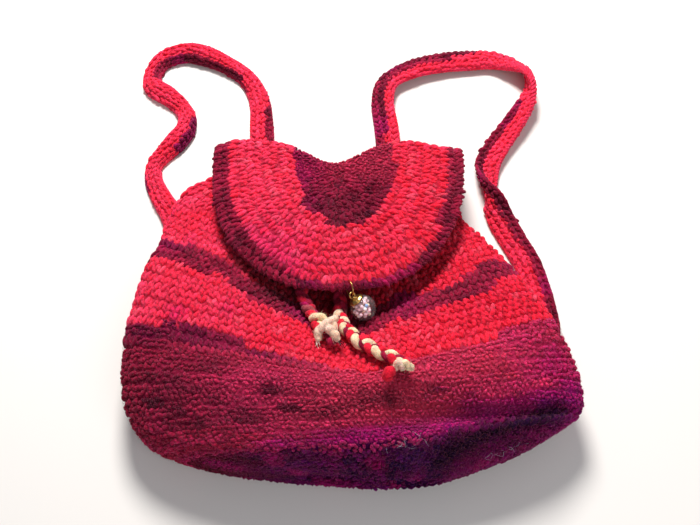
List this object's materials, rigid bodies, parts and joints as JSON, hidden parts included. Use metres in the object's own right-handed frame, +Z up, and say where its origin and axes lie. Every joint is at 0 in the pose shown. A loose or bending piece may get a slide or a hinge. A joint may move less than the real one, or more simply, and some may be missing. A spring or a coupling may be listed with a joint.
{
  "type": "crocheted drawstring backpack with charm",
  "caption": "Crocheted yarn backpack lying on its back: round body with a gathered neck, a U-shaped flap, shoulder straps, a braided drawstring and a small hanging glass charm.",
  "frame": {"origin": "on the flat back of the bag body, where it rests, below the middle of the body", "axes": "+Z up, out of the front of the bag as it lies on its back; +Y along the bag from its bottom to its neck and strap loops; +X to the right seen from the front"},
  "size_m": [0.3594, 0.4163, 0.0764],
  "materials": {
    "yarn_burgundy": "fuzzy bulky yarn, crocheted",
    "yarn_red": "fuzzy bulky yarn, crocheted",
    "yarn_cream": "soft yarn, braided in three strands",
    "gold": "polished gold-coloured plating",
    "clear_glass": "clear and smooth",
    "pearl": "small pearly beads, soft shine"
  },
  "bodies": {
    "bag": {"bag_body": "yarn_burgundy", "flap": "yarn_red", "strap_left": "yarn_red", "strap_right": "yarn_red", "drawstring": "yarn_cream", "ring": "gold"},
    "charm": {"cap": "gold", "globe": "clear_glass", "pearls": "pearl"}
  },
  "joints": [
    {"name": "charm_swing", "type": "hinge", "parent": "bag", "child": "charm", "pos_m": [0.00194, -0.01114, 0.05201], "axis": [0.5656, -0.3872, 0.7281], "range_deg": [-8, 14]}
  ]
}
